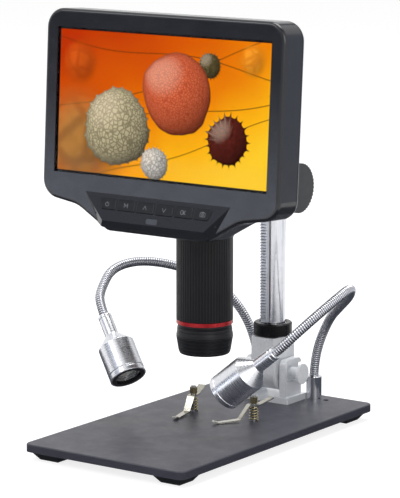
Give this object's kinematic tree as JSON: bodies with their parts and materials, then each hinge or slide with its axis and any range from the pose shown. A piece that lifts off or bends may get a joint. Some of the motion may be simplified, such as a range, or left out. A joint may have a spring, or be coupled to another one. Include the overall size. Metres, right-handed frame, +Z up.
{
  "type": "lcd digital microscope",
  "caption": "Desk microscope with a flat display on a rack-and-pinion column, a vertical lens barrel, a metal base with spring clips and gooseneck lamps.",
  "frame": {"origin": "on the table, under the middle of the base plate", "axes": "+X to the right of someone facing the display, +Y to the back, +Z up"},
  "size_m": [0.175, 0.21, 0.2673],
  "materials": {
    "plate_black": "fine texture, satin",
    "foot_rubber": "matte",
    "bracket_silver": "satin",
    "screw_steel": "plain",
    "screw_black": "black oxide",
    "chrome": "polished",
    "knurled_zinc": "knurled",
    "collar_black": "semi-gloss",
    "rack_brass": "cut teeth",
    "bush_white": "plain",
    "head_black": "fine matte",
    "knob_black": "ribbed",
    "barrel_black": "satin",
    "ring_red": "anodised",
    "lens_glass": "clear, coated",
    "cover_glass": "smooth, dark edge",
    "panel": "lit display",
    "board_green": "solder mask",
    "key_black": "satin",
    "ir_dark": "dark, see-through to infrared",
    "cell_black": "black anodised",
    "clip_nickel": "nickel over brass",
    "nut_brass": "nickel-washed brass",
    "lamp_silver": "bright turned",
    "lamp_black": "satin",
    "optic_clear": "moulded, clear",
    "led_white": "white board with an emitter"
  },
  "bodies": {
    "base": {"base_plate": "plate_black", "foot_pads": "foot_rubber", "stand_bracket": "bracket_silver", "bracket_screws": "screw_steel", "pivot_nut": "screw_steel", "clip_studs": "screw_steel", "clip_springs": "screw_steel", "lamp_sockets": "chrome", "socket_nuts": "screw_steel"},
    "thumb_screw": {"thumb_screw": "knurled_zinc"},
    "tilt_block": {"tilt_block": "bracket_silver"},
    "collar": {"collar_nut": "collar_black"},
    "column": {"post": "chrome", "gear_rack": "rack_brass", "post_cap": "collar_black"},
    "head": {"carriage": "collar_black", "slide_bushes": "bush_white", "camera_housing": "head_black", "sensor_board": "board_green", "lens_mount": "cell_black", "lens_nose": "barrel_black", "red_ring": "ring_red", "front_window": "lens_glass", "rear_cover": "head_black", "front_bezel": "head_black", "screen_glass": "cover_glass", "lcd_panel": "panel", "main_board": "board_green", "key_board": "board_green", "ir_window": "ir_dark", "head_screws": "screw_black"},
    "focus_drive": {"focus_shaft": "screw_steel", "pinion_gear": "screw_steel", "focus_knob_left": "knob_black", "focus_knob_right": "knob_black"},
    "focus_sleeve": {"focus_sleeve": "barrel_black"},
    "lens_group": {"lens_cell": "cell_black", "lens_elements": "lens_glass"},
    "key_1": {"key_1": "key_black"},
    "key_2": {"key_2": "key_black"},
    "key_3": {"key_3": "key_black"},
    "key_4": {"key_4": "key_black"},
    "key_5": {"key_5": "key_black"},
    "key_6": {"key_6": "key_black"},
    "clip_nut_left": {"clip_nut_left": "nut_brass"},
    "clip_strip_left": {"clip_strip_left": "clip_nickel"},
    "clip_nut_right": {"clip_nut_right": "nut_brass"},
    "clip_strip_right": {"clip_strip_right": "clip_nickel"},
    "lamp_lower_left": {"gooseneck_lower_left": "chrome"},
    "lamp_upper_left": {"gooseneck_upper_left": "chrome"},
    "lamp_head_left": {"lamp_housing_left": "lamp_silver", "lamp_ring_left": "lamp_black", "lamp_optic_left": "optic_clear", "lamp_led_left": "led_white"},
    "lamp_lower_right": {"gooseneck_lower_right": "chrome"},
    "lamp_upper_right": {"gooseneck_upper_right": "chrome"},
    "lamp_head_right": {"lamp_housing_right": "lamp_silver", "lamp_ring_right": "lamp_black", "lamp_optic_right": "optic_clear", "lamp_led_right": "led_white"}
  },
  "joints": [
    {"name": "thumb_screw_turn", "type": "hinge", "parent": "base", "child": "thumb_screw", "pos_m": [0, 0.077, 0.03], "axis": [1, 0, 0], "continuous": true},
    {"name": "column_tilt", "type": "hinge", "parent": "base", "child": "tilt_block", "pos_m": [0, 0.077, 0.03], "axis": [1, 0, 0], "range_deg": [-30, 5]},
    {"name": "collar_turn", "type": "hinge", "parent": "tilt_block", "child": "collar", "pos_m": [0, 0.077, 0.0575], "axis": [0, 0, 1], "continuous": true},
    {"name": "post_swivel", "type": "hinge", "parent": "tilt_block", "child": "column", "pos_m": [0, 0.077, 0.053], "axis": [0, 0, 1], "range_deg": [-8, 8]},
    {"name": "carriage_slide", "type": "slide", "parent": "column", "child": "head", "axis": [0, 0, 1], "range_m": [-0.03, 0.06]},
    {"name": "focus_turn", "type": "hinge", "parent": "head", "child": "focus_drive", "pos_m": [0, 0.0599, 0.153], "axis": [1, 0, 0], "range_deg": [-650, 330]},
    {"name": "sleeve_turn", "type": "hinge", "parent": "head", "child": "focus_sleeve", "pos_m": [0, 0.001, 0.1], "axis": [0, 0, 1], "range_deg": [-90, 90]},
    {"name": "lens_travel", "type": "slide", "parent": "head", "child": "lens_group", "axis": [0, 0, 1], "range_m": [-0.0021, 0.0021]},
    {"name": "key_1_press", "type": "slide", "parent": "head", "child": "key_1", "axis": [0, 0.9553, -0.2957], "range_m": [0, 0.0008], "stiffness_N_per_m": 600, "springref_m": -0.0004},
    {"name": "key_2_press", "type": "slide", "parent": "head", "child": "key_2", "axis": [0, 0.9553, -0.2957], "range_m": [0, 0.0008], "stiffness_N_per_m": 600, "springref_m": -0.0004},
    {"name": "key_3_press", "type": "slide", "parent": "head", "child": "key_3", "axis": [0, 0.9553, -0.2957], "range_m": [0, 0.0008], "stiffness_N_per_m": 600, "springref_m": -0.0004},
    {"name": "key_4_press", "type": "slide", "parent": "head", "child": "key_4", "axis": [0, 0.9553, -0.2957], "range_m": [0, 0.0008], "stiffness_N_per_m": 600, "springref_m": -0.0004},
    {"name": "key_5_press", "type": "slide", "parent": "head", "child": "key_5", "axis": [0, 0.9553, -0.2957], "range_m": [0, 0.0008], "stiffness_N_per_m": 600, "springref_m": -0.0004},
    {"name": "key_6_press", "type": "slide", "parent": "head", "child": "key_6", "axis": [0, 0.9553, -0.2957], "range_m": [0, 0.0008], "stiffness_N_per_m": 600, "springref_m": -0.0004},
    {"name": "clip_swivel_left", "type": "hinge", "parent": "base", "child": "clip_nut_left", "pos_m": [-0.023, 0.0215, 0.0215], "axis": [0, 0, 1], "range_deg": [-60, 20]},
    {"name": "clip_lift_left", "type": "hinge", "parent": "clip_nut_left", "child": "clip_strip_left", "pos_m": [-0.023, 0.0215, 0.0209], "axis": [-0.9877, -0.1564, 0], "range_deg": [0, 7], "stiffness_Nm_per_rad": 0.08, "springref_deg": -3.44},
    {"name": "clip_swivel_right", "type": "hinge", "parent": "base", "child": "clip_nut_right", "pos_m": [0.023, 0.0215, 0.0215], "axis": [0, 0, 1], "range_deg": [-15, 75]},
    {"name": "clip_lift_right", "type": "hinge", "parent": "clip_nut_right", "child": "clip_strip_right", "pos_m": [0.023, 0.0215, 0.0209], "axis": [-0.8192, 0.5736, 0], "range_deg": [0, 7], "stiffness_Nm_per_rad": 0.08, "springref_deg": -3.44},
    {"name": "lamp_swing_left", "type": "hinge", "parent": "base", "child": "lamp_lower_left", "pos_m": [-0.0212, 0.0932, 0.0292], "axis": [0, 0, 1], "range_deg": [-25, 3]},
    {"name": "lamp_bend_left", "type": "hinge", "parent": "lamp_lower_left", "child": "lamp_upper_left", "pos_m": [-0.0631, 0.0548, 0.0949], "axis": [-0.7529, 0.6581, 0], "range_deg": [-5, 25]},
    {"name": "lamp_aim_left", "type": "hinge", "parent": "lamp_upper_left", "child": "lamp_head_left", "pos_m": [-0.06892, -0.00876, 0.06835], "axis": [-0.4018, -0.9157, 0], "range_deg": [-15, 15]},
    {"name": "lamp_swing_right", "type": "hinge", "parent": "base", "child": "lamp_lower_right", "pos_m": [0.0212, 0.0932, 0.0292], "axis": [0, 0, 1], "range_deg": [-3, 25]},
    {"name": "lamp_bend_right", "type": "hinge", "parent": "lamp_lower_right", "child": "lamp_upper_right", "pos_m": [0.06535, 0.0595, 0.08535], "axis": [-0.6806, -0.7327, 0], "range_deg": [-5, 25]},
    {"name": "lamp_aim_right", "type": "hinge", "parent": "lamp_upper_right", "child": "lamp_head_right", "pos_m": [0.06114, -0.01663, 0.06378], "axis": [-0.107, 0.9943, 0], "range_deg": [-15, 15]}
  ],
  "couplings": [
    {"joint": "focus_turn", "follows": "carriage_slide", "rad_per_m": -185.19},
    {"joint": "lens_travel", "follows": "sleeve_turn", "m_per_rad": 0.00127}
  ]
}
